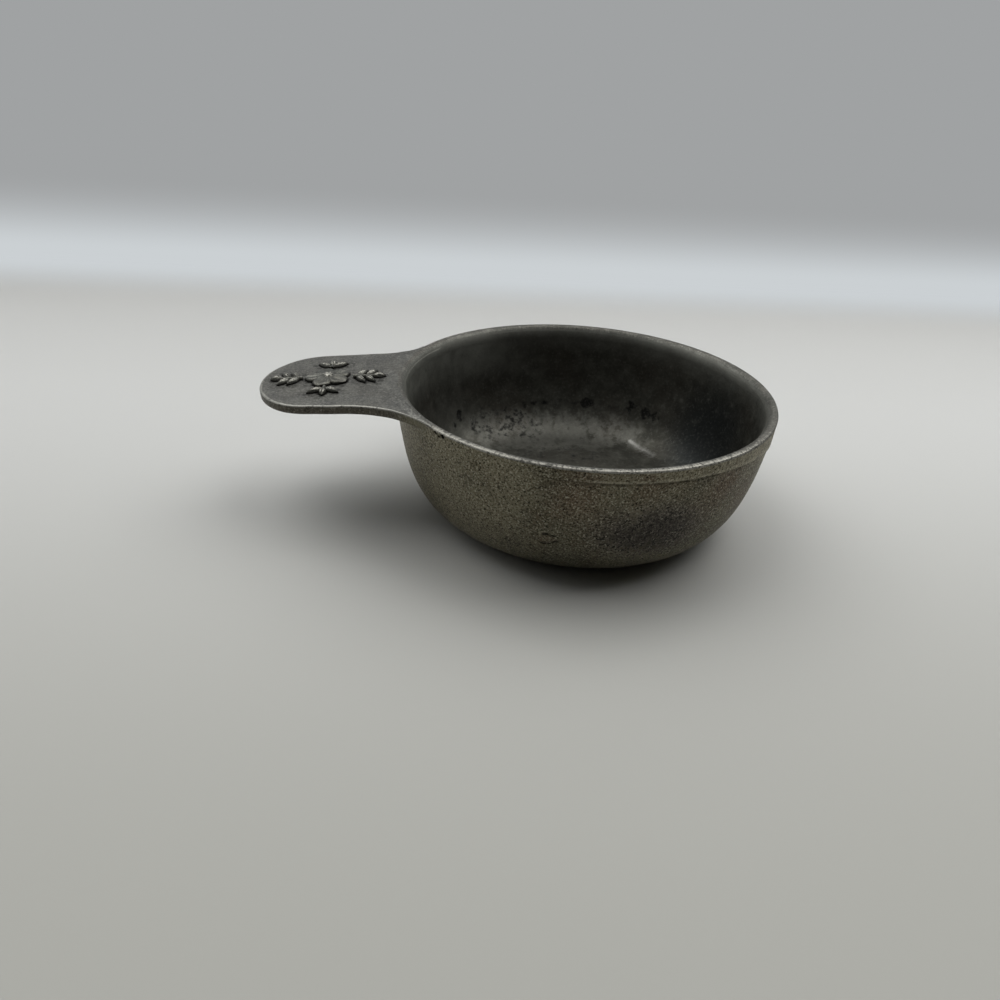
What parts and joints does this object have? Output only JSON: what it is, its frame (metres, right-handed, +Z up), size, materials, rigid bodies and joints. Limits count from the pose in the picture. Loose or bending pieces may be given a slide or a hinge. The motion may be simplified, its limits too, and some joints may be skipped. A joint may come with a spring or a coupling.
{
  "type": "baby bowl",
  "caption": "Small round cast pewter porringer for feeding a baby, with a flat drooping tab handle and an applied floral ornament.",
  "frame": {"origin": "centre of the flat base, on the table", "axes": "+Z up along the bowl's axis, the handle runs along -X, +Y across it"},
  "size_m": [0.1455, 0.108, 0.0388],
  "materials": {
    "cast_pewter": "as-cast pewter, grainy and tarnished dark grey brown",
    "turned_pewter": "turned pewter rim, worn brighter on its edges",
    "worn_pewter": "satin pewter, worn smooth by the thumb",
    "solder": "dull grey solder",
    "relief_pewter": "cast relief, bright on its tops and dark in its hollows"
  },
  "bodies": {
    "root": {"bowl": "cast_pewter", "rim_band": "turned_pewter", "handle": "worn_pewter", "handle_solder_fillet": "solder", "ornament_rosette": "relief_pewter", "ornament_tip_spray": "relief_pewter", "ornament_root_spray": "relief_pewter", "ornament_side_spray_left": "relief_pewter", "ornament_side_spray_right": "relief_pewter"}
  },
  "joints": []
}
